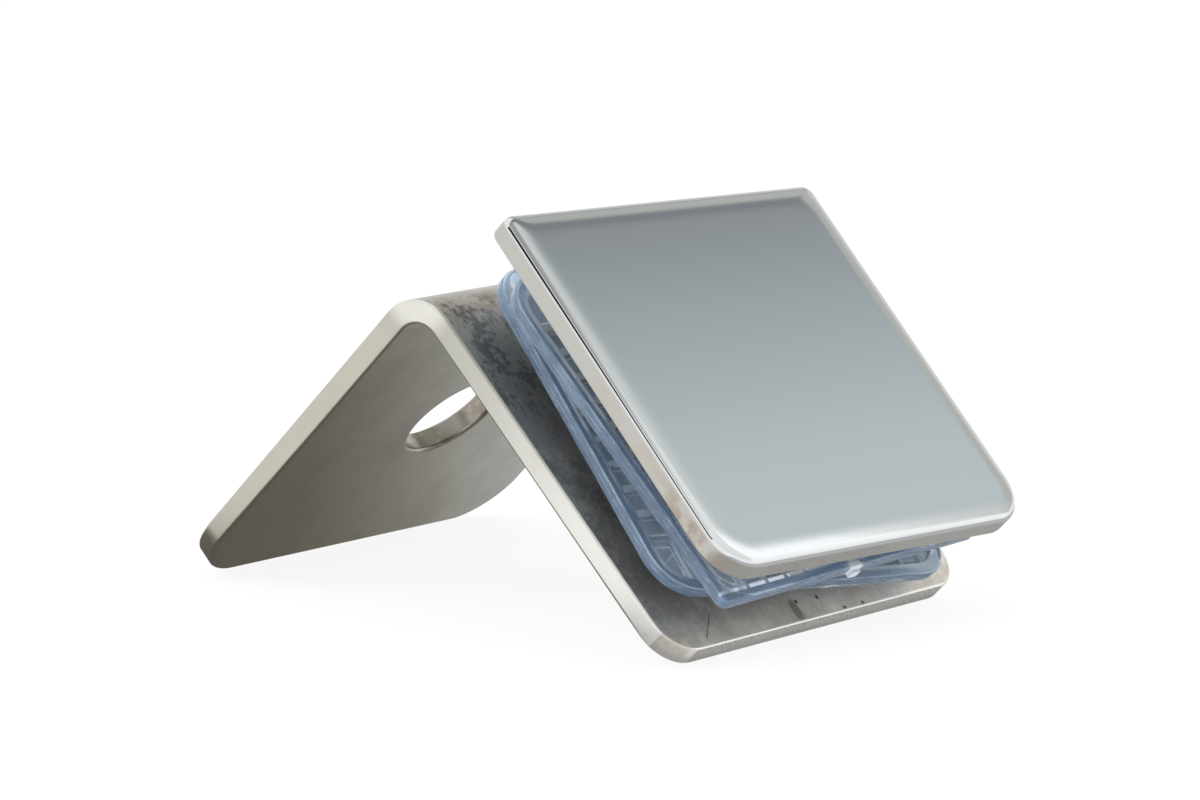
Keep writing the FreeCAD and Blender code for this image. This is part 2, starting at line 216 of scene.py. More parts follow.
# materials: a pair is where a mark begins and where it is full, in millimetres or in a noise's own level,
# shares are the least and the most, and bump is its strength and its distance in metres
bracketLook = {
    "faceColour": (0.60, 0.59, 0.56, 1),
    "roughness": 0.27, "cloudRough": 0.1, "lowRough": 0.25, "dirtRough": 0.1, "lipRough": -0.25,
    "film": 0.04, "lowFilm": 0.1,  # what keeps the outer face from being bare metal
    "bump": (0.06, 0.00004), "bumpGrain": 0.6,
    # noises: scale, detail, roughness, stretch
    "cloud": (0.12, 4.0, 0.6), "blotch": (0.3, 6.0, 0.7), "speck": (1.5, 4.0, 0.6),
    "grain": (1.0, 4.0, 0.6, (6.0, 0.5, 6.0)), "sawnScale": 4.5,
    "cloudColour": (0.48, 0.47, 0.45, 1), "cloudLevel": (0.42, 0.68), "cloudShare": 0.5,
    # the outer face of the clamp leg, and its lower end, painted lighter as a painted reflection
    "outerColour": (0.78, 0.71, 0.63, 1), "outerOut": (-2.0, -0.3), "outerDown": (-24.5, -22.0),
    "lowLitColour": (0.95, 0.90, 0.82, 1), "lowDown": (12.0, 23.5), "lowSlant": 0.12,
    "mottleColour": (0.26, 0.24, 0.22, 1), "mottleBlotch": 0.65, "mottleLevel": (0.62, 0.38),
    "mottleDown": (-18.0, -4.0), "mottleShares": (0.4, 0.7), "mottleLow": 0.6,
    "bendColour": (0.30, 0.295, 0.275, 1), "bendTop": (-23.5, -19.0), "bendDown": (0.0, -12.0),
    "bendWander": 9.0, "bendAcross": (-15.0, -23.0), "bendShare": 0.6,
    "warmColour": (0.52, 0.46, 0.38, 1), "warmLevel": (0.4, 0.66), "warmDown": (-4.0, 16.0), "warmShare": 0.6,
    "stainColour": (0.13, 0.128, 0.12, 1), "stainBlotch": 0.6, "stainLevel": (0.45, 0.58), "stainShare": 0.85,
    "stainDown": (2.0, -12.0), "stainAcross": (0.0, -15.0), "stainWander": 10.0,
    "fleckSpeck": 0.75, "fleckLevel": (0.63, 0.68), "fleckShare": 0.6,
    "markColour": (0.16, 0.14, 0.13, 1),
    "dots": ((21.9, -2.7), (22.0, 0.8), (24.0, 3.9), (24.0, 7.1), (21.9, 13.1)), "dotReach": (0.32, 0.32),
    "smudge": ((23.0, -3.5), (1.9, 0.8)), "smudgeShares": (0.4, 0.9),
    "scratchEnds": ((20.6, -16.1), (23.7, -19.3)), "scratchHalf": 0.06, "scratchFades": (0.4, 0.8),
    "scratchShare": 0.8,
    "lipHighlightColour": (0.98, 0.96, 0.91, 1), "lipDown": (24.0, 24.25),
    "sawnColour": (0.30, 0.29, 0.265, 1), "sawnDown": (24.38, 24.46), "sawnAndShadeShares": (0.45, 0.85),
    # the strip's edges and the wall hole
    "edgeShadedColour": (0.52, 0.515, 0.46, 1), "edgeLitColour": (0.91, 0.90, 0.86, 1),
    "edgeDown": (-20.0, 18.0), "edgeAcross": (24.66, 24.78),
    "wallEdgeColour": (0.56, 0.535, 0.465, 1), "wallEdgeOut": (-5.0, -9.0),
    "edgeWarmCloud": (0.45, 0.7), "edgeWarmSpeck": (0.4, 0.65), "edgeWarmShare": 0.35,
    "crest": ((-25.0, -1.0), (6.5, 5.5)), "crestHighlightColour": (0.86, 0.85, 0.79, 1), "crestHighlightShare": 0.8,
    "boreDirtAndShadeColour": (0.34, 0.295, 0.24, 1), "borePast": (0.55, 0.2), "boreLevel": (0.42, 0.6),
    "boreShares": (0.35, 1.0),
}


def scratchLine(down, across, ends, half, fades):
    # a thin straight line between two places on the clamp leg
    (d1, a1), (d2, a2) = ends
    length = math.hypot(d2 - d1, a2 - a1)
    runDown, runAcross = (d2 - d1) / length, (a2 - a1) / length
    along = (down - d1) * runDown + (across - a1) * runAcross
    aside = ((across - a1) * runDown - (down - d1) * runAcross).absolute()
    return aside.step(half * 2, half / 2) * along.between((0.0, fades[0]), (length, length - fades[1]))


def bracketSteel():
    look = bracketLook
    material, start = newMaterial("bracketSteel")
    place, down, across, out = pieceCoordinates(start)
    cloud, blotch, speck, grain = [noise(start, place, *look[name])
                                   for name in ("cloud", "blotch", "speck", "grain")]

    # the outer face: painted lighter towards its end, a painted reflection; stained, and darker near the bend
    onOuterFace = out.step(*look["outerOut"]) * down.step(*look["outerDown"])
    low = onOuterFace * (down + across * look["lowSlant"]).step(*look["lowDown"])
    mottle = onOuterFace * blend(blotch, speck, look["mottleBlotch"]).step(*look["mottleLevel"])
    mottle = mottle * (1 - low * look["mottleLow"])
    mottle = mottle * down.step(*look["mottleDown"]).spread(*look["mottleShares"])
    underBend = onOuterFace * down.step(*look["bendTop"]) * across.step(*look["bendAcross"])
    underBend = underBend * (down + blotch * look["bendWander"]).step(*look["bendDown"])
    warm = onOuterFace * cloud.step(*look["warmLevel"]) * down.step(*look["warmDown"])
    stain = onOuterFace * blend(blotch, speck, look["stainBlotch"]).step(*look["stainLevel"])
    stain = stain * (across + cloud * look["stainWander"]).step(*look["stainAcross"])
    stain = stain * down.step(*look["stainDown"])
    flecks = onOuterFace * blend(speck, blotch, look["fleckSpeck"]).step(*look["fleckLevel"])
    dirt = (stain * look["stainShare"]).maximum(flecks * look["fleckShare"])
    marks = spot(down, across, *look["smudge"]) * blotch.spread(*look["smudgeShares"])
    for dot in look["dots"]:
        marks = marks.maximum(spot(down, across, dot, look["dotReach"]))
    scratch = scratchLine(down, across, look["scratchEnds"], look["scratchHalf"], look["scratchFades"])
    marks = marks.maximum(scratch * look["scratchShare"])
    # a painted highlight along the outer face's lower edge
    lipHighlight = onOuterFace * down.step(*look["lipDown"])
    # the end face: sawn patches, and painted darker there as a painted shade
    sawn = patches(start, place, look["sawnScale"]).spread(*look["sawnAndShadeShares"])

    # the strip's edges, painted lighter towards the clamp leg's lower end as painted light, and the wall
    # hole's bore
    edgeWarm = cloud.step(*look["edgeWarmCloud"]) * speck.step(*look["edgeWarmSpeck"])
    edge = painted(down.step(*look["edgeDown"]).mix(look["edgeShadedColour"], look["edgeLitColour"]), (
        (out.step(*look["wallEdgeOut"]), look["wallEdgeColour"]),
        (edgeWarm * look["edgeWarmShare"], look["warmColour"]),
        # a painted highlight on the edge at the bend's crest
        (spot(down, out, *look["crest"]) * look["crestHighlightShare"], look["crestHighlightColour"])))
    # the wall hole's bore, painted darker: dirt and painted shade
    fromHole = out + strip["wallHoleFromBend"]
    boreFades = [(strip["wallHole"] / 2 + past) ** 2 for past in look["borePast"]]
    inBore = (fromHole * fromHole + across * across).step(*boreFades)
    inBore = inBore * blotch.step(*look["boreLevel"]).spread(*look["boreShares"])

    colour = painted(look["faceColour"], (
        (cloud.step(*look["cloudLevel"]) * look["cloudShare"], look["cloudColour"]),
        (onOuterFace, look["outerColour"]),
        (low, look["lowLitColour"]),
        (mottle, look["mottleColour"]),
        (underBend * look["bendShare"], look["bendColour"]),
        (warm * look["warmShare"], look["warmColour"]),
        (dirt, look["stainColour"]),
        (marks * onOuterFace, look["markColour"]),
        (across.absolute().step(*look["edgeAcross"]), edge),
        (lipHighlight, look["lipHighlightColour"]),
        (down.step(*look["sawnDown"]) * sawn, look["sawnColour"]),
        (inBore, look["boreDirtAndShadeColour"])))
    rough = look["roughness"] + cloud * look["cloudRough"] + low * look["lowRough"]
    rough = rough + dirt * look["dirtRough"] + lipHighlight * look["lipRough"]
    bare = 1 - onOuterFace * look["film"] - low * look["lowFilm"]
    bump = bumped(start, blend(grain, speck, look["bumpGrain"]), *look["bump"])
    metalSurface(start, colour, bare, rough, bump)
    return material


plateLook = {
    "faceColour": (0.76, 0.78, 0.79, 1), "faceRoughness": 0.05, "hazeRough": 0.03,
    "edgeColour": (0.55, 0.54, 0.505, 1), "edgeRoughness": 0.26, "grainRough": 0.1, "bump": (0.04, 0.00004),
    "grain": (3.2, 4.0, 0.65, (1.0, 1.0, 0.25)), "cloud": (0.35, 4.0, 0.6),
    "haze": (1.0, 3.0, 0.5, (0.3, 0.05, 0.3)), "sawnScale": 4.5,
    "backAcross": (-22.0, -25.0), "backOut": (13.0, 11.6),  # the near side, next to the plate's back
    "warmColour": (0.52, 0.455, 0.375, 1), "warmDown": (-8.0, 12.0), "warmLevel": (0.34, 0.6),
    "warmShare": 0.55,
    "smudgeColour": (0.34, 0.29, 0.235, 1), "smudgeDown": ((9.0, 17.0), (21.0, 18.5)),
    "smudgeLevel": (0.4, 0.6), "smudgeShare": 0.8,
    "sawnColour": (0.27, 0.265, 0.25, 1), "sawnDown": (22.9, 23.4), "sawnAcross": (4.0, -4.0),
    "sawnShare": 0.45,
}


def polishedSteel():
    look = plateLook
    material, start = newMaterial("polishedSteel")
    place, down, across, out = pieceCoordinates(start)
    onSide = start.node("ShaderNodeAttribute", {"attribute_name": "side"}, out=2)
    grain, cloud, haze = [noise(start, place, *look[name]) for name in ("grain", "cloud", "haze")]
    nearBack = across.step(*look["backAcross"]) * out.step(*look["backOut"])
    warm = nearBack * down.step(*look["warmDown"]) * cloud.step(*look["warmLevel"])
    smudge = onSide * nearBack * down.between(*look["smudgeDown"]) * cloud.step(*look["smudgeLevel"])
    sawn = patches(start, place, look["sawnScale"])
    sawn = sawn * down.step(*look["sawnDown"]) * across.step(*look["sawnAcross"])
    edge = painted(look["edgeColour"], (
        (warm * look["warmShare"], look["warmColour"]),
        (smudge * look["smudgeShare"], look["smudgeColour"]),
        (sawn * look["sawnShare"], look["sawnColour"])))
    sideRough = onSide * (look["edgeRoughness"] - look["faceRoughness"] + grain * look["grainRough"])
    rough = look["faceRoughness"] + haze * look["hazeRough"] + sideRough
    bump = bumped(start, grain * onSide, *look["bump"])
    metalSurface(start, onSide.mix(look["faceColour"], edge), 1.0, rough, bump)
    return material


turnedLook = {
    "colour": (0.6, 0.6, 0.6, 1), "roughness": 0.28, "cloud": (0.8, 3.0, 0.5), "cloudRough": 0.12,
    "groovePitch": 0.12, "bump": (0.12, 0.00002),
}


def turnedSteel():
    look = turnedLook
    material, start = newMaterial("turnedSteel")
    place, down, across, out = pieceCoordinates(start)
    radius = (down * down + across * across) ** 0.5
    groove = start.maths("SINE", (radius + out) * (2 * math.pi / look["groovePitch"]))
    rough = look["roughness"] + noise(start, place, *look["cloud"]) * look["cloudRough"]
    metalSurface(start, look["colour"], 1.0, rough, bumped(start, groove, *look["bump"]))
    return material


plateMaterial = polishedSteel()
turnedMaterial = turnedSteel()
print("materials made")


# shapes: every slab is a front face, a rounded edge and a back face round one outline and its holes
def roundedLoop(low, high, half, lowCorner, highCorner, arcSteps, sideStops=()):
    # outline as a function of how far inside the real edge it runs, anticlockwise seen from the front
    def loop(inset, cornerOf=None):
        points = []
        cornerOf = cornerOf or (lambda radius, inset: radius - inset)
        near, far = cornerOf(lowCorner, inset), cornerOf(highCorner, inset)
        lo, hi, side = low + inset, high - inset, half - inset
        corners = ((hi - far, far - side, far, -90), (hi - far, side - far, far, 0),
                   (lo + near, side - near, near, 90), (lo + near, near - side, near, 180))
        for number, (cu, cv, radius, begin) in enumerate(corners):
            if number == 0:
                points += [(stop, -side, 0, -1) for stop in sideStops]
            for step in range(arcSteps + 1):
                angle = math.radians(begin + 90 * step / arcSteps)
                nu, nv = math.cos(angle), math.sin(angle)
                points.append((cu + radius * nu, cv + radius * nv, nu, nv))
            if number == 1:
                points += [(stop, side, 0, 1) for stop in reversed(sideStops)]
        return points
    return loop


def holeLoop(centreU, centreV, radius, steps):
    # clockwise, so that the material is on the same hand as along an outline
    def loop(inset):
        points = []
        for step in range(steps):
            angle = -2 * math.pi * step / steps
            nu, nv = math.cos(angle), math.sin(angle)
            points.append((centreU + (radius + inset) * nu, centreV + (radius + inset) * nv, -nu, -nv))
        return points
    return loop


def turnedBack(loop):
    # the same loop the other way round, with the material on its other side
    return [(u, v, -nu, -nv) for u, v, nu, nv in loop][::-1]


def easedRings(thickness, frontEase, backEase, steps):
    # inset, depth and tilt of each ring down a rounded edge
    angles = [math.radians(90 * step / steps) for step in range(steps + 1)]
    curve = [(1 - math.sin(angle), 1 - math.cos(angle), angle) for angle in angles]
    front = [(frontEase * a, frontEase * b, angle) for a, b, angle in curve]
    back = [(backEase * b, thickness - backEase * a, math.pi / 2 + angle) for a, b, angle in curve]
    return front + back


def fillFlat(loops, ties=()):
    # triangles between one outer loop and its holes; loops are lists of (u, v)
    coords = [Vector(point) for loop in loops for point in loop]
    edges, first = list(ties), 0
    for loop in loops:
        edges += [(first + n, first + (n + 1) % len(loop)) for n in range(len(loop))]
        first += len(loop)
    closest = 1e-7  # points nearer than this are one
    _, _, faces, origins, _, _ = delaunay_2d_cdt(coords, edges, [], 0, closest, True)
    inside = []
    for face in faces:
        corners = [origins[corner][0] for corner in face]
        middle = sum((coords[corner] for corner in corners), Vector((0, 0))) / 3
        if within(middle, loops[0]) and not any(within(middle, hole) for hole in loops[1:]):
            inside.append(corners)
    return inside


def within(point, loop):
    # each side of the loop that a line from the point crosses changes the answer
    inside = False
    for (u1, v1), (u2, v2) in zip(loop, loop[1:] + loop[:1]):
        if (v1 > point.y) != (v2 > point.y) and point.x < (u2 - u1) * (point.y - v1) / (v2 - v1) + u1:
            inside = not inside
    return inside


class Shell:
    # vertices in (u, v, depth below the front), each with its normal in (u, v, front) and a mark for its side
    def __init__(self):
        self.points, self.normals, self.faces, self.marks = [], [], [], []

    def ring(self, loop, depth, tilt, mark=0.0):
        first = len(self.points)
        for u, v, nu, nv in loop:
            self.points.append((u, v, depth))
            self.normals.append((nu * math.sin(tilt), nv * math.sin(tilt), math.cos(tilt)))
            self.marks.append(mark)
        return range(first, len(self.points))

    def wall(self, rings):
        for upper, lower in zip(rings, rings[1:]):
            for n in range(len(upper)):
                after = (n + 1) % len(upper)
                self.faces.append((upper[n], lower[n], lower[after], upper[after]))

    def cap(self, rings, flip=False, ties=()):
        indices = [n for ring in rings for n in ring]
        loops = [[self.points[n][:2] for n in ring] for ring in rings]
        for corners in fillFlat(loops, ties):
            face = [indices[corner] for corner in corners]
            self.faces.append(face[::-1] if flip else face)

    def build(self, name, place, turn):
        mesh = bpy.data.meshes.new(name)
        mesh.from_pydata([place(*point) for point in self.points], [], self.faces)
        mesh.polygons.foreach_set("use_smooth", [True] * len(mesh.polygons))
        normals = [turn(point, normal).normalized() for point, normal in zip(self.points, self.normals)]
        mesh.normals_split_custom_set_from_vertices(normals)
        side = mesh.attributes.new("side", "FLOAT", "POINT")
        side.data.foreach_set("value", self.marks)
        mesh.update()
        return mesh


def newPiece(name, mesh, material, body, node):
    piece = bpy.data.objects.new(name, mesh)
    scene.collection.objects.link(piece)
    mesh.materials.clear()
    mesh.materials.append(material)
    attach(piece, body)
    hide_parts(node)
    print(name, "made:", len(mesh.vertices), "points")


def straightPlace(rotation, origin, thickness):
    # front face up the screw's axis, thickness down to the piece's own zero
    def place(u, v, depth):
        return origin + rotation @ Vector((u, v, thickness - depth)) * mm

    def turn(point, normal):
        return rotation @ Vector(normal)
    return place, turn


# bent strip, drawn flat from the wall leg's end to the clamp leg's end and then bent
strip = {
    "width": 50.0, "leg": 50.0, "thickness": 2.6, "bend": 6.0,
    "clampCorner": 4.5, "wallCorner": 7.0, "edgeEase": 0.3, "innerEase": 0.5,
    "wallHole": 12.0, "wallHoleFromBend": 26.3, "wallHoleEase": 0.5,
    "screwHole": 9.0, "screwFromBend": 25.5,
    "bendSteps": 28, "cornerSteps": 14, "holeSteps": 80, "edgeSteps": 5,
}


def bentStrip():
    size = strip
    straight = size["leg"] - size["bend"]
    bendRun = size["bend"] * math.pi / 2
    length = 2 * straight + bendRun
    corner = axisPoint - downLeg * size["screwFromBend"] * mm
    stops = [straight + bendRun * n / size["bendSteps"] for n in range(size["bendSteps"] + 1)]

    def bentAxes(s):
        # point on the outer face, and the directions along the strip and into the sheet
        angle = min(max((s - straight) / bendRun, 0.0), 1.0) * math.pi / 2
        along = Vector((math.sin(angle), 0, math.cos(angle)))
        inward = Vector((math.cos(angle), 0, -math.sin(angle)))
        centre = Vector((size["bend"], 0, -size["bend"]))
        spare = s - straight if s < straight else max(s - straight - bendRun, 0.0)
        return centre - inward * size["bend"] + along * spare, along, inward

    def place(s, across, depth):
        outer, _, inward = bentAxes(s)
        point = outer + inward * depth + Vector((0, across, 0))
        return corner + clampTurn @ point * mm

    def turn(point, normal):
        _, along, inward = bentAxes(point[0])
        return clampTurn @ (along * normal[0] + Vector((0, normal[1], 0)) - inward * normal[2])

    shell = Shell()
    edge = easedRings(size["thickness"], size["edgeEase"], size["innerEase"], size["edgeSteps"])
    wallEdge = easedRings(size["thickness"], size["edgeEase"], size["wallHoleEase"], size["edgeSteps"])
    outline = roundedLoop(0, length, size["width"] / 2, size["wallCorner"], size["clampCorner"],
                          size["cornerSteps"], stops)
    wallHole = holeLoop(size["leg"] - size["wallHoleFromBend"], 0, size["wallHole"] / 2, size["holeSteps"])
    screwAt = straight + bendRun + size["screwFromBend"] - size["bend"]
    screwHole = holeLoop(screwAt, 0, size["screwHole"] / 2, size["holeSteps"])
    fronts, backs = [], []
    for loop, rings in ((outline, edge), (wallHole, wallEdge), (screwHole, edge)):
        made = [shell.ring(loop(inset), depth, tilt) for inset, depth, tilt in rings]
        shell.wall(made)
        fronts.append(made[0])
        backs.append(made[-1])
    # lines across the strip, so that the bend stays round
    count = len(stops)
    farStart = count + 2 * (size["cornerSteps"] + 1)
    ties = [(n, farStart + count - 1 - n) for n in range(count)]
    shell.cap(fronts, ties=ties)
    shell.cap(backs, flip=True, ties=ties)
    mesh = shell.build("bentStrip", place, turn)
    newPiece("bentStrip", mesh, bracketSteel(), "bracket", "l_bracket")


bentStrip()

# cover plate: flat polished face, a soft fall towards the edges, rolled front edge
cover = {
    "width": 50.0, "above": 22.0, "below": 24.0, "thickness": 3.0,
    "corner": 5.0, "topCorner": 1.5, "gap": 10.3, "swivel": -2.5,
    "backEase": 0.3, "fallFrom": 3.6, "rollFrom": 0.85, "fallTilt": 5.0, "softCorner": 0.75,
    "satinFrom": 0.965,  # the sine of the tilt past which the polish ends
    "tapped": 7.9, "tappedDepth": 1.0,
    "fallSteps": 14, "rollSteps": 12, "backSteps": 3, "cornerSteps": 16, "holeSteps": 72,
}


def coverPlate():
    size = cover
    rotation, origin = stackPlace(size["gap"], size["swivel"])
    outline = roundedLoop(-size["above"], size["below"], size["width"] / 2, size["topCorner"], size["corner"],
                          size["cornerSteps"])

    def corner(radius, inset):
        return max(radius - inset, size["softCorner"] * inset)

    shell, rings = Shell(), []
    depth, last, fallTilt = 0.0, size["fallFrom"], math.radians(size["fallTilt"])
    for step in range(size["fallSteps"] + 1):
        share = step / size["fallSteps"]
        inset = size["fallFrom"] + (size["rollFrom"] - size["fallFrom"]) * share
        tilt = fallTilt * share ** 2
        depth += math.tan(tilt) * (last - inset)
        last = inset
        rings.append(shell.ring(outline(inset, corner), depth, tilt))
    roll = size["rollFrom"] / (1 - math.sin(fallTilt))
    for step in range(1, size["rollSteps"] + 1):
        tilt = fallTilt + (math.pi / 2 - fallTilt) * step / size["rollSteps"]
        inset = roll * (1 - math.sin(tilt))
        fall = depth + roll * (math.cos(fallTilt) - math.cos(tilt))
        satin = max(0.0, math.sin(tilt) - size["satinFrom"]) / (1 - size["satinFrom"])
        rings.append(shell.ring(outline(inset, corner), fall, tilt, satin))
    eased = easedRings(size["thickness"], size["backEase"], size["backEase"], size["backSteps"])
    for inset, fall, tilt in eased[size["backSteps"] + 1:]:
        rings.append(shell.ring(outline(inset, corner), fall, tilt, 1.0))
    shell.wall(rings)
    shell.cap(rings[:1])
    # the screw's blind hole, in line with the bush
    tapped = holeLoop(0, 0, size["tapped"] / 2, size["holeSteps"])(0)
    back, bottom = size["thickness"], size["thickness"] - size["tappedDepth"]
    shell.wall([shell.ring(tapped, bottom, math.pi / 2, 1.0), shell.ring(tapped, back, math.pi / 2, 1.0)])
    shell.cap([rings[-1], shell.ring(tapped, back, math.pi, 1.0)], flip=True)
    shell.cap([shell.ring(tapped, bottom, math.pi, 1.0)], flip=True)
    mesh = shell.build("coverPlate", *straightPlace(rotation, origin, size["thickness"]))
    newPiece("coverPlate", mesh, plateMaterial, "plate", "clamp_plate")


coverPlate()

# bush welded to the back of the cover plate
bush = {"width": 14.0, "length": 8.0, "bore": 7.9, "lead": 0.8, "boreLead": 0.3, "steps": 72}


def turnedBush():
    size = bush
    rotation, origin = stackPlace(cover["gap"] - size["length"])
    outside = holeLoop(0, 0, size["width"] / 2, size["steps"])
    inside = holeLoop(0, 0, size["bore"] / 2, size["steps"])

    def outer(inset):
        return turnedBack(outside(-inset))

    shell = Shell()
    full, lead, boreLead = size["length"], size["lead"], size["boreLead"]
    upright, slanted = math.pi / 2, 3 * math.pi / 4
    for loop, ease in ((outer, lead), (inside, boreLead)):
        shell.wall([shell.ring(loop(0), 0, upright), shell.ring(loop(0), full - ease, upright)])
        shell.wall([shell.ring(loop(0), full - ease, slanted), shell.ring(loop(ease), full, slanted)])
    shell.cap([shell.ring(outer(0), 0, 0), shell.ring(inside(0), 0, 0)])
    shell.cap([shell.ring(outer(lead), full, math.pi), shell.ring(inside(boreLead), full, math.pi)],
              flip=True)
    mesh = shell.build("turnedBush", *straightPlace(rotation, origin, size["length"]))
    newPiece("turnedBush", mesh, turnedMaterial, "plate", "threaded_boss")


turnedBush()

# button-head screw with a hexagon socket and a cut thread
screw = {
    "thread": 7.8, "root": 6.5, "pitch": 1.25, "length": 12.0, "lead": 0.8, "plainUnderHead": 0.6,
    "crestFlat": 0.12, "flank": 0.7,  # shares of half a pitch
    "head": 14.0, "headHeight": 4.4, "crown": 7.2, "socket": 5.0, "socketDepth": 2.8,
    "socketCone": 0.6, "socketLead": 0.15, "socketMouth": 1.06, "coneTip": 0.02,  # the last two are shares
    "endTip": 0.05,
    "steps": 72, "rowsPerPitch": 10, "domeSteps": 12, "sharpFrom": 40.0,
}


def threadRadius(size, z, turnShare):
    place = (z / size["pitch"] - turnShare) % 1.0
    flank = (abs(place - 0.5) * 2 - size["crestFlat"]) / size["flank"]
    flank = min(max(flank, 0.0), 1.0)  # 0 at the crest, 1 at the root
    crest, root = size["thread"] / 2, size["root"] / 2
    radius = crest + (root - crest) * flank
    atHead = min(max((z - size["plainUnderHead"]) / size["pitch"], 0.0), 1.0)
    radius = crest + (radius - crest) * atHead
    return min(radius, crest - size["lead"] + (size["length"] - z))


def clampScrew():
    size = screw
    rotation, origin = stackPlace(-strip["thickness"])
    steps, points, faces = size["steps"], [], []

    def ring(radiusAt, z):
        first = len(points)
        for n in range(steps):
            angle = 2 * math.pi * n / steps
            radius = radiusAt(n / steps)
            points.append((radius * math.cos(angle), radius * math.sin(angle), z))
        return list(range(first, first + steps))

    rim, crown, height = size["head"] / 2, size["crown"] / 2, size["headHeight"]
    centre = (rim ** 2 - crown ** 2 - height ** 2) / (2 * height)
    dome = math.hypot(rim, centre)
    flats = size["socket"] / 2
    hexRadius = [flats / math.cos((n / steps * 2 * math.pi + math.pi / 6) % (math.pi / 3) - math.pi / 6)
                 for n in range(steps)]

    def hexAt(scale):
        return lambda share: hexRadius[round(share * steps) % steps] * scale

    low, high = math.atan2(-height - centre, crown), math.atan2(-centre, rim)
    socketEnd = size["socketDepth"] - height
    rings = [ring(hexAt(size["coneTip"]), socketEnd + size["socketCone"]), ring(hexAt(1.0), socketEnd),
             ring(hexAt(1.0), size["socketLead"] - height), ring(hexAt(size["socketMouth"]), -height)]
    for n in range(size["domeSteps"] + 1):
        angle = low + (high - low) * n / size["domeSteps"]
        rings.append(ring(lambda share: dome * math.cos(angle), centre + dome * math.sin(angle)))
    rows = int(size["length"] / size["pitch"] * size["rowsPerPitch"])
    for n in range(rows + 1):
        z = size["length"] * n / rows
        rings.append(ring(lambda share: threadRadius(size, z, share), z))
    rings.append(ring(lambda share: size["endTip"], size["length"]))
    for lower, upper in zip(rings, rings[1:]):
        for n in range(steps):
            after = (n + 1) % steps
            faces.append((lower[n], lower[after], upper[after], upper[n]))
    faces.append(tuple(rings[0])[::-1])
    faces.append(tuple(rings[-1]))
    mesh = bpy.data.meshes.new("clampScrew")
    mesh.from_pydata([origin + rotation @ Vector(point) * mm for point in points], [], faces)
    mesh.shade_smooth()
    mesh.set_sharp_from_angle(angle=math.radians(size["sharpFrom"]))
    mesh.update()
    newPiece("clampScrew", mesh, turnedMaterial, "screw", "clamp_screw")


clampScrew()

# moulded gaskets with a ring of shallow pockets between ribs
gasket = {
    "length": 42.4, "width": 44.4, "thickness": 1.3, "roundCorner": 5.1, "squareCorner": 1.0, "hole": 19.0,
    "edgeEase": 0.2, "rim": 1.5, "reach": 5.0, "pocketDepth": 0.45, "pocketCorner": 0.8, "pocketEase": 0.12,
    "ribWidth": 0.5, "ribPitch": 3.2, "endRibs": 12, "sideRibs": 10,
    "ribRoot": 0.6, "ribLow": 0.03, "ribSunk": 0.3,
    "gateWidth": 1.4, "gateProud": 0.4, "gateHeight": 0.9,
    "cornerSteps": 14, "holeSteps": 72, "edgeSteps": 3, "sharpFrom": 32.0,
    "inner": {"lift": 2.6, "turn": -7.6, "drop": 1.2, "aside": 0.0, "glint": 0.0},
    "outer": {"lift": 6.25, "turn": 181.0, "drop": 2.15, "aside": -1.0, "glint": 1.0},
}
gasketLook = {
    "clearColour": (0.74, 0.86, 0.97, 1), "ior": 1.46, "roughness": 0.08, "milkRoughness": 0.3,
    "milkColour": (0.36, 0.53, 0.76, 1), "insideColour": (0.50, 0.60, 0.71, 1),
    "lineAndSheenColour": (0.86, 0.92, 0.98, 1), "ribLines": 0.25,
    "gateColour": (0.86, 0.91, 0.97, 1), "glintColour": (0.46, 0.49, 0.5, 1),
    # how milky it is, and what is added where
    "milkInside": 0.52, "milkOnRim": -0.24, "milkOnWall": -0.12, "milkOnRibs": 0.1, "milkOnLinesAndSheen": 0.5,
    "milkRipple": 0.12, "milkOnGate": 0.85, "milkOnGlint": 0.95,
    "ripple": (0.5, 3.0, 0.5), "bump": (0.15, 0.0001), "patchScale": 0.25,
    # places in millimetres: in from the outline, past the rim, below the front face, or from the gate's end
    "wallIn": (0.25, 0.1),
    "easeIn": ((0.02, 0.1), (0.36, 0.24)), "easeBelow": (0.25, 0.1), "easeShares": (0.3, 0.65),
    "rimPast": (0.2, -0.2), "pocketPast": ((-0.1, 0.0), (0.35, 0.2)), "pocketShares": (0.4, 1.0),
    "ribFade": (0.1, -0.05), "troughFade": (-0.05, 0.05),
    "cellFromRib": 0.62, "cellFromWall": 0.62, "cellDeep": 3.8, "cellLine": 0.16, "cellStrength": 0.55,
    "gateSquared": (2.2, 0.8),
    "glintRun": ((0.94, 1.06), (1.5, 1.38)), "glintBelow": (0.3, 0.15), "glintAcross": (5.0, 9.0),
    "glintShares": (0.5, 1.0),
}


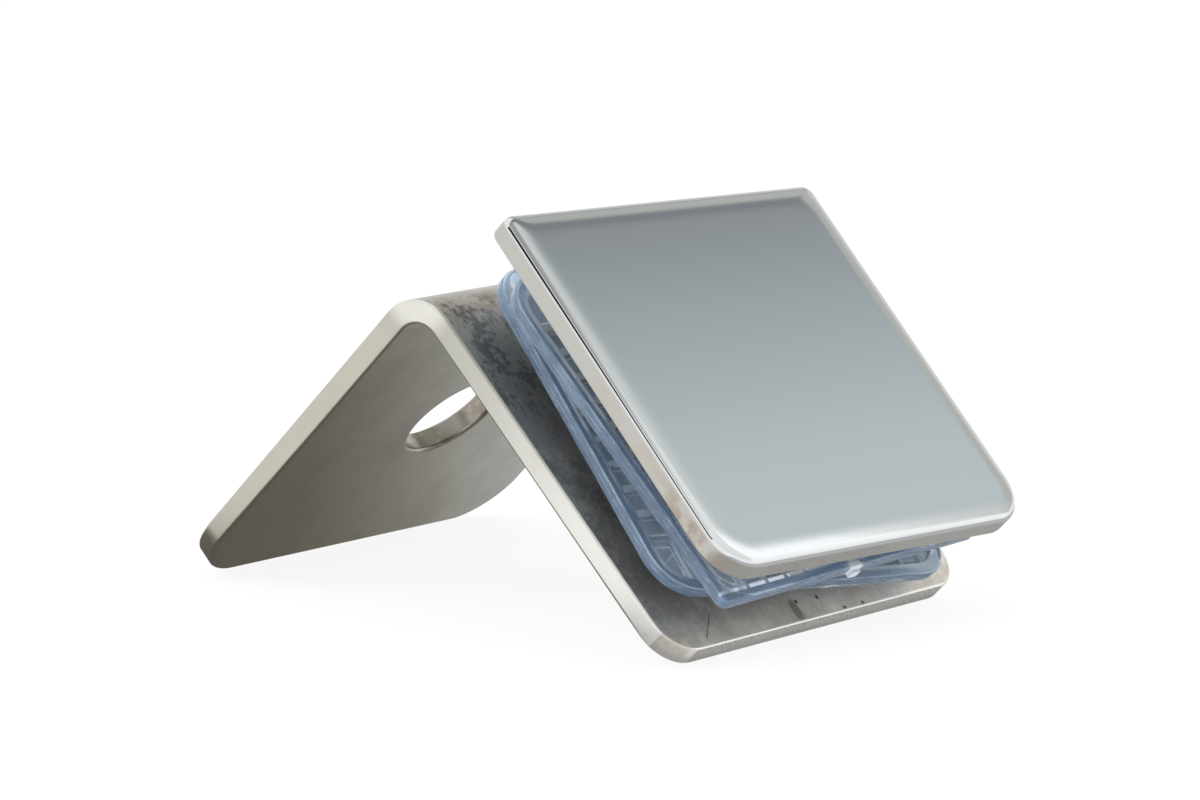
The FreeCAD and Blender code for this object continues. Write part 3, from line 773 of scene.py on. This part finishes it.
def clearGasket(name, rotation, origin, glint):
    look, size = gasketLook, gasket
    material, start = newMaterial(name)
    place, along, across, out = pieceCoordinates(start, rotation, origin)
    end, side, rim, corner = size["length"] / 2, size["width"] / 2, size["rim"], size["roundCorner"]
    cornerAlong = (along.absolute() - (end - corner)).maximum(0.0)
    cornerAcross = (across.absolute() - (side - corner)).maximum(0.0)
    fromEdge = corner - (cornerAlong * cornerAlong + cornerAcross * cornerAcross) ** 0.5
    pastRim, belowFront = fromEdge - rim, size["thickness"] - out
    onRim = pastRim.step(*look["rimPast"])
    onWall = fromEdge.step(*look["wallIn"])
    onEase = fromEdge.between(*look["easeIn"]) * belowFront.step(*look["easeBelow"])
    onPocketWall = pastRim.between(*look["pocketPast"])

    # the trough: how deep into it from its outer wall, and its ribs and pockets
    endDeep, sideDeep = (end - rim) - along.absolute(), (side - rim) - across.absolute()
    inEnd = (size["reach"] - endDeep).step(*look["troughFade"])
    inSide = (size["reach"] - sideDeep).step(*look["troughFade"]) * (1 - inEnd)

    def ribAside(run):
        # how far from the next rib of a row, which lie half a pitch to each side of the middle
        return (start.maths("FRACT", run / size["ribPitch"]) - 0.5).absolute() * size["ribPitch"]

    def ribAt(run):
        return (ribAside(run) - size["ribWidth"] / 2).step(*look["ribFade"])

    def cellLine(run, deep):
        # a fine line round each pocket's floor, a little in from its walls
        fromRib, fromWall = ribAside(run) - look["cellFromRib"], deep - look["cellFromWall"]
        inset = fromRib.minimum(fromWall.minimum(look["cellDeep"] - fromWall))
        return inset.absolute().step(look["cellLine"], look["cellLine"] / 2)

    onRibs = (inEnd * ribAt(across)).maximum(inSide * ribAt(along)) * (1 - onRim)
    onCells = (inEnd * cellLine(across, endDeep)).maximum(inSide * cellLine(along, sideDeep)) * (1 - onRim)

    # the moulding gate, and the painted glints beside it, which glow
    patch = patches(start, place, look["patchScale"])
    gateRun = along + end
    onGate = (gateRun * gateRun + across * across).step(*look["gateSquared"])
    onGlint = gateRun.between(*look["glintRun"]) * belowFront.step(*look["glintBelow"]) * (1 - ribAt(across))
    onGlint = onGlint * across.step(*look["glintAcross"]) * patch.spread(*look["glintShares"]) * glint

    # painted highlights along the pocket walls and the eased edges, with fine lines round the pocket floors
    onLinesAndSheen = onPocketWall * (1 - onRibs) * patch.spread(*look["pocketShares"])
    onLinesAndSheen = onLinesAndSheen.maximum(onEase * patch.spread(*look["easeShares"]))
    onLinesAndSheen = onLinesAndSheen.maximum(onCells * look["cellStrength"])
    milk = painted(look["insideColour"], (
        (onRim, look["milkColour"]),
        (onLinesAndSheen.maximum(onRibs * look["ribLines"]), look["lineAndSheenColour"]),
        (onGate, look["gateColour"])))
    ripple = noise(start, place, *look["ripple"])
    bump = bumped(start, ripple, *look["bump"])
    clear = start.node("ShaderNodeBsdfPrincipled", None, {
        "Base Color": look["clearColour"], "Roughness": look["roughness"], "IOR": look["ior"],
        "Transmission Weight": 1.0, "Normal": bump})
    milky = start.node("ShaderNodeBsdfPrincipled", None, {
        "Base Color": milk, "Roughness": look["milkRoughness"], "IOR": look["ior"], "Normal": bump,
        "Emission Strength": 1.0, "Emission Color": onGlint.mix(grey(0.0), look["glintColour"])})
    share = look["milkInside"] + (ripple - 0.5) * look["milkRipple"]
    share = share + onRim * look["milkOnRim"] + onWall * look["milkOnWall"]
    share = share + onRibs * look["milkOnRibs"] + onLinesAndSheen * look["milkOnLinesAndSheen"]
    share = share.maximum(onGate * look["milkOnGate"]).maximum(onGlint * look["milkOnGlint"])
    surface(start, start.node("ShaderNodeMixShader", None, {0: share, 1: clear, 2: milky}))
    return material


def gasketShell(backCorner, backPocketCorner):
    size = gasket
    shell, end, side = Shell(), size["length"] / 2, size["width"] / 2
    outline = roundedLoop(-end, end, side, backCorner, size["roundCorner"], size["cornerSteps"])
    hole = holeLoop(0, 0, size["hole"] / 2, size["holeSteps"])
    rings = easedRings(size["thickness"], size["edgeEase"], size["edgeEase"], size["edgeSteps"])
    outer = [shell.ring(outline(inset), depth, tilt) for inset, depth, tilt in rings]
    inner = [shell.ring(hole(inset), depth, tilt) for inset, depth, tilt in rings]
    shell.wall(outer)
    shell.wall(inner)
    farEnd, farSide = end - size["rim"], side - size["rim"]
    nearEnd, nearSide = farEnd - size["reach"], farSide - size["reach"]
    farWall = roundedLoop(-farEnd, farEnd, farSide, backPocketCorner, size["roundCorner"] - size["rim"],
                          size["cornerSteps"])
    nearWall = roundedLoop(-nearEnd, nearEnd, nearSide, size["pocketCorner"], size["pocketCorner"],
                           size["cornerSteps"])
    ease, depth = size["pocketEase"], size["pocketDepth"]

    farRings = [shell.ring(turnedBack(farWall(0)), 0, 0), shell.ring(turnedBack(farWall(ease)), depth, 0)]
    nearRings = [shell.ring(nearWall(0), 0, 0), shell.ring(nearWall(-ease), depth, 0)]
    shell.wall(farRings)
    shell.wall(nearRings)
    shell.cap([outer[0], farRings[0]])
    shell.cap([nearRings[0], inner[0]])
    shell.cap([farRings[1], nearRings[1]])
    shell.cap([outer[-1], inner[-1]], flip=True)
    return shell


def ribTree():
    # four rows of ribs across the trough, and the moulding gate, joined to the gasket as one solid
    tree = bpy.data.node_groups.new("ribRows", "GeometryNodeTree")
    tree.interface.new_socket("Geometry", in_out="INPUT", socket_type="NodeSocketGeometry")
    for name, kind in (("ribPitch", "Float"), ("endRibs", "Int"), ("sideRibs", "Int"), ("endMiddle", "Float"),
                       ("sideMiddle", "Float"), ("ribHeight", "Float"), ("ribSize", "Vector"),
                       ("gateSize", "Vector"), ("gatePlace", "Vector"), ("finish", "Material")):
        tree.interface.new_socket(name, in_out="INPUT", socket_type="NodeSocket" + kind)
    tree.interface.new_socket("Geometry", in_out="OUTPUT", socket_type="NodeSocketGeometry")
    start = Wire(tree)
    given = start.node("NodeGroupInput")
    pitch = given.sibling("ribPitch")
    bar = start.node("GeometryNodeMeshCube", None, {"Size": given.sibling("ribSize")})

    def ribRow(count, middle, quarters):
        first = start.node("ShaderNodeCombineXYZ", None,
                           {"X": pitch * (count - 1) * -0.5, "Y": middle, "Z": given.sibling("ribHeight")})
        offset = start.node("ShaderNodeCombineXYZ", None, {"X": pitch})
        line = start.node("GeometryNodeMeshLine", {"mode": "OFFSET", "count_mode": "TOTAL"},
                          {"Count": count, "Start Location": first, "Offset": offset})
        ribs = start.node("GeometryNodeInstanceOnPoints", None, {"Points": line, "Instance": bar})
        return [start.node("GeometryNodeTransform", None,
                           {"Geometry": ribs, "Rotation": (0, 0, quarter * math.pi / 2)})
                for quarter in quarters]

    rows = ribRow(given.sibling("sideRibs"), given.sibling("sideMiddle"), (0, 2))
    rows += ribRow(given.sibling("endRibs"), given.sibling("endMiddle"), (1, 3))
    gate = start.node("GeometryNodeMeshCube", None, {"Size": given.sibling("gateSize")})
    gate = start.node("GeometryNodeTransform", None,
                      {"Geometry": gate, "Translation": given.sibling("gatePlace")})
    added = start.node("GeometryNodeJoinGeometry", None, {"Geometry": rows + [gate]})
    solid = start.node("GeometryNodeRealizeInstances", None, {"Geometry": added})
    whole = start.node("GeometryNodeMeshBoolean", {"operation": "UNION", "solver": "EXACT"},
                       {"Mesh 2": [given.sibling("Geometry"), solid], "Self Intersection": True})
    plain = start.node("GeometryNodeRealizeInstances", None, {"Geometry": whole})
    finished = start.node("GeometryNodeSetMaterial", None,
                          {"Geometry": plain, "Material": given.sibling("finish")})
    start.node("NodeGroupOutput", None, {"Geometry": finished})
    return tree


ribRows = ribTree()


def mouldedGasket(name, body, node, hang, backCorner, backPocketCorner):
    size = gasket
    thickness = size["thickness"]
    rotation, origin = stackPlace(hang["lift"], hang["turn"], hang["drop"], hang["aside"])
    material = clearGasket(name + "Clear", rotation, origin, hang["glint"])
    shell = gasketShell(backCorner, backPocketCorner)
    mesh = shell.build(name + "Blank", lambda u, v, depth: Vector((u, v, thickness - depth)),
                       lambda point, normal: Vector(normal))
    blank = bpy.data.objects.new(name + "Blank", mesh)
    scene.collection.objects.link(blank)
    pocketMiddle = size["rim"] + size["reach"] / 2
    ribTall = size["pocketDepth"] - size["ribLow"] + size["ribSunk"]
    gateDeep = size["gateProud"] + size["rim"] / 2
    given = {
        "ribPitch": size["ribPitch"], "endRibs": size["endRibs"], "sideRibs": size["sideRibs"],
        "endMiddle": size["length"] / 2 - pocketMiddle, "sideMiddle": size["width"] / 2 - pocketMiddle,
        "ribHeight": thickness - size["ribLow"] - ribTall / 2,
        "ribSize": (size["ribWidth"], size["reach"] + 2 * size["ribRoot"], ribTall),
        "gateSize": (gateDeep, size["gateWidth"], size["gateHeight"]),
        "gatePlace": (gateDeep / 2 - size["length"] / 2 - size["gateProud"], 0, size["gateHeight"] / 2),
        "finish": material,
    }
    modifier = blank.modifiers.new("ribs", "NODES")
    modifier.node_group = ribRows
    for item in ribRows.interface.items_tree:
        if item.in_out == "INPUT" and item.name in given:
            modifier[item.identifier] = given[item.name]
    graph = bpy.context.evaluated_depsgraph_get()
    whole = bpy.data.meshes.new_from_object(blank.evaluated_get(graph))
    bpy.data.objects.remove(blank)
    whole.transform(Matrix.Translation(origin) @ (rotation.to_4x4() @ Matrix.Scale(mm, 4)))
    whole.shade_smooth()
    whole.set_sharp_from_angle(angle=math.radians(size["sharpFrom"]))
    whole.name = name
    newPiece(name, whole, material, body, node)


mouldedGasket("innerGasket", "inner_pad", "inner_gasket", gasket["inner"],
              gasket["roundCorner"], gasket["roundCorner"] - gasket["rim"])
mouldedGasket("outerGasket", "outer_pad", "outer_gasket", gasket["outer"],
              gasket["squareCorner"], gasket["pocketCorner"])

# floor, light and camera; places are in metres and the camera's turn in degrees
studio = {
    "floorHalf": 3.0, "floorColour": grey(0.9), "floorWhite": 0.9,
    "worldLevel": 0.75,
    "lamps": {"keyLamp": ((-0.5, -0.7, 0.8), 10.0), "topLamp": ((0.3, 0.2, 0.9), 6.5)},
    "lampAim": (0, 0, 0.02), "lampSize": 0.9,
    "cameraPlace": (0.348561, -0.420672, 0.118527),
    "cameraTurn": (79.8987, -0.5142, 39.7695),
    "lens": 153.673, "clip": (0.01, 20.0),
}


def stagePlane(name, corners, material, marks=None):
    # a card has marks, its corners in its own millimetres, and shows only in reflections
    mesh = bpy.data.meshes.new(name)
    mesh.from_pydata([Vector(corner) for corner in corners], [], [tuple(range(len(corners)))])
    item = bpy.data.objects.new(name, mesh)
    scene.collection.objects.link(item)
    mesh.materials.append(material)
    if marks:
        layer = mesh.uv_layers.new(name="millimetres")
        for corner, mark in zip(layer.data, marks):
            corner.uv = mark
        item.visible_camera = item.visible_diffuse = item.visible_transmission = item.visible_shadow = False


def card(name, sheet, colouring, cornerAt):
    # a glowing plane with its own colouring, and with each corner put in its place
    material, start = newMaterial(name)
    apart = start.node("ShaderNodeSeparateXYZ", None, {"Vector": start.node("ShaderNodeTexCoord", out=2)})
    colour = colouring(apart, apart.sibling("Y"))
    surface(start, start.node("ShaderNodeEmission", None, {"Color": colour}))
    (left, low), (right, high) = sheet["low"], sheet["high"]
    marks = [(left, low), (right, low), (right, high), (left, high)]
    stagePlane(name, [cornerAt(*mark) for mark in marks], material, marks)


def plateFront():
    return stackPlace(cover["gap"] + cover["thickness"], cover["swivel"])


# what the polished face shows: a cool grey sheet, paler and warmer past its top and right, white below
overSheet = {
    "height": 200.0,  # over the cover plate's face
    "low": (-90.0, -330.0), "high": (400.0, 150.0),
    "coolStops": [(0.0, (0.24, 0.26, 0.27)), (0.1, (0.31, 0.33, 0.345)), (0.5, (0.45, 0.50, 0.51)),
                  (0.85, (0.58, 0.635, 0.645)), (1.0, (0.60, 0.66, 0.67))],
    "coolDown": (-24.0, 18.0),
    "warmStops": [(0.0, (0.24, 0.25, 0.24)), (0.2, (0.37, 0.385, 0.365)), (0.34, (0.49, 0.505, 0.475)),
                  (0.5, (0.51, 0.525, 0.49)), (1.0, (0.54, 0.545, 0.51))],
    "warmAbove": (-30.0, -40.0), "warmUpTo": (-58.0, -68.0), "warmRightOf": (25.0, 44.0),
    "aboveColour": (0.24, 0.245, 0.24, 1),
    "leftColour": (0.72, 0.75, 0.73, 1), "leftOf": (-34.0, -72.0), "leftBelow": (-26.0, -6.0),
    "rimColour": (0.40, 0.395, 0.385, 1), "rimOf": (-140.0, -200.0), "rimAbove": (30.0, 12.0),
    "rimWhite": 0.4, "whiteRightOf": (-120.0, -90.0),
    "whiteStops": [(0.0, grey(1.25)), (0.16, grey(1.2)), (0.24, grey(1.0)), (0.44, grey(0.84)),
                   (0.6, grey(0.74)), (1.0, grey(0.66))],
    "whiteBelow": (24.0, 42.0), "rollColour": grey(1.15), "rollBelow": (90.0, 130.0),
}


def overColours(down, across):
    look = overSheet
    fromLeft = across.share(-cover["width"] / 2, cover["width"] / 2)
    pastTopOrRight = down.step(*look["warmAbove"]).maximum(across.step(*look["warmRightOf"]))
    white = down.step(*look["rollBelow"]).mix(fromLeft.ramp(look["whiteStops"]), look["rollColour"])
    whiteShare = across.step(*look["whiteRightOf"]).spread(look["rimWhite"], 1.0)
    return painted(down.share(*look["coolDown"]).ramp(look["coolStops"]), (
        (pastTopOrRight, fromLeft.ramp(look["warmStops"])),
        (across.step(*look["leftOf"]) * down.step(*look["leftBelow"]), look["leftColour"]),
        (down.step(*look["warmUpTo"]), look["aboveColour"]),
        (down.step(*look["whiteBelow"]) * whiteShare, white),
        (across.step(*look["rimOf"]) * down.step(*look["rimAbove"]), look["rimColour"])))


def overCorner(down, across):
    # where the camera sees this place of the plate's own millimetres mirrored in its face
    rotation, origin = plateFront()
    normal = rotation @ Vector((0, 0, 1))
    eye = Vector(studio["cameraPlace"])
    height = (eye - origin).dot(normal)
    mirrored = eye - normal * 2 * height
    grow = 1 + overSheet["height"] * mm / height
    return mirrored + (origin + rotation @ Vector((down, across, 0)) * mm - mirrored) * grow


# the thin dark line along the near rolled edge, thinner towards the lower end
darkSheet = {
    "aside": -275.0, "low": (-170.0, 0.0), "high": (30.0, 170.0),
    "colour": grey(0.02), "middle": 84.0, "half": (70.0, 36.0), "thins": (-125.0, -85.0), "fade": (-4.0, 4.0),
}


def darkColours(down, lift):
    half = down.step(*darkSheet["thins"]).spread(*darkSheet["half"])
    past = (lift - darkSheet["middle"]).absolute() - half
    return past.step(*darkSheet["fade"]).mix(darkSheet["colour"], grey(1.0))


def darkCorner(down, lift):
    rotation, origin = plateFront()
    return origin + rotation @ Vector((down, darkSheet["aside"], lift)) * mm


# the room behind, which darkens upwards and shows in the bend
backSheet = {
    "behind": 420.0, "low": (-700.0, 70.0), "high": (250.0, 800.0),
    "stops": [(0.0, (0.98, 0.98, 0.97)), (0.08, (0.93, 0.935, 0.92)), (0.16, (0.84, 0.84, 0.82)),
              (0.25, (0.75, 0.75, 0.735)), (0.36, (0.62, 0.62, 0.61)), (1.0, (0.42, 0.425, 0.42))],
}


def backColours(aside, height):
    return height.share(backSheet["low"][1], backSheet["high"][1]).ramp(backSheet["stops"])


def backCorner(aside, height):
    return Vector((aside, backSheet["behind"], height)) * mm


# the shade between the legs, as the wall leg's inside shows it
groundSheet = {
    "height": 0.2, "low": (-60.0, -40.0), "high": (60.0, 120.0),
    "stops": [(0.0, (0.146, 0.133, 0.112)), (0.19, (0.174, 0.161, 0.136)), (0.25, (0.224, 0.21, 0.182)),
              (0.30, (0.291, 0.28, 0.252)), (0.345, (0.37, 0.365, 0.338)), (0.375, (0.475, 0.475, 0.448)),
              (0.43, (0.575, 0.595, 0.572)), (0.55, (0.65, 0.668, 0.648)), (0.75, (0.84, 0.84, 0.818)),
              (1.0, (1, 1, 1))],
    "frontColour": grey(0.55), "frontFrom": (12.0, 28.0),
}


def groundColours(ahead, across):
    shade = across.share(groundSheet["low"][1], groundSheet["high"][1]).ramp(groundSheet["stops"])
    return ahead.step(*groundSheet["frontFrom"]).mix(shade, groundSheet["frontColour"])


def groundCorner(ahead, across):
    return Vector((ahead, across, groundSheet["height"])) * mm


def seenRays(start):
    # 1 for rays that show the background: straight from the camera, in metal or through a clear piece
    path = start.node("ShaderNodeLightPath")
    seen = path.sibling("Is Camera Ray") + path.sibling("Is Glossy Ray") + path.sibling("Is Transmission Ray")
    return seen.minimum(1.0)


def paleFloor():
    material, start = newMaterial("paleFloor")
    lit = start.node("ShaderNodeBsdfDiffuse", None, {"Color": studio["floorColour"]})
    white = start.node("ShaderNodeEmission", None, {"Color": grey(1.0), "Strength": 1.0})
    share = seenRays(start) * studio["floorWhite"]
    surface(start, start.node("ShaderNodeMixShader", None, {0: share, 1: lit, 2: white}))
    reach = studio["floorHalf"]
    stagePlane("floor", [(-reach, -reach, 0), (reach, -reach, 0), (reach, reach, 0), (-reach, reach, 0)],
               material)


def whiteWorld():
    world = bpy.data.worlds.new("studio")
    scene.world = world
    world.use_nodes = True
    world.node_tree.nodes.clear()
    start = Wire(world.node_tree)
    level = seenRays(start).spread(studio["worldLevel"], 1.0)
    light = start.node("ShaderNodeBackground", None, {"Color": grey(1.0), "Strength": level})
    start.node("ShaderNodeOutputWorld", None, {"Surface": light})


def softLamp(name, place, power):
    lamp = bpy.data.lights.new(name, "AREA")
    lamp.shape = "SQUARE"
    lamp.size = studio["lampSize"]
    lamp.energy = power
    item = bpy.data.objects.new(name, lamp)
    scene.collection.objects.link(item)
    item.visible_glossy = False  # the metal shows the cards and the white room instead
    item.location = place
    item.rotation_euler = (Vector(studio["lampAim"]) - Vector(place)).to_track_quat("-Z", "Y").to_euler()


def photoCamera():
    camera = bpy.data.objects.new("camera", bpy.data.cameras.new("camera"))
    scene.collection.objects.link(camera)
    camera.location = studio["cameraPlace"]
    camera.rotation_euler = [math.radians(angle) for angle in studio["cameraTurn"]]
    camera.data.lens = studio["lens"]
    camera.data.clip_start, camera.data.clip_end = studio["clip"]
    scene.camera = camera


paleFloor()
whiteWorld()
card("overCard", overSheet, overColours, overCorner)
card("darkCard", darkSheet, darkColours, darkCorner)
card("backCard", backSheet, backColours, backCorner)
card("groundCard", groundSheet, groundColours, groundCorner)
for lampName, (lampPlace, lampPower) in studio["lamps"].items():
    softLamp(lampName, lampPlace, lampPower)
photoCamera()
scene.view_settings.view_transform = "Standard"
print("stage set")
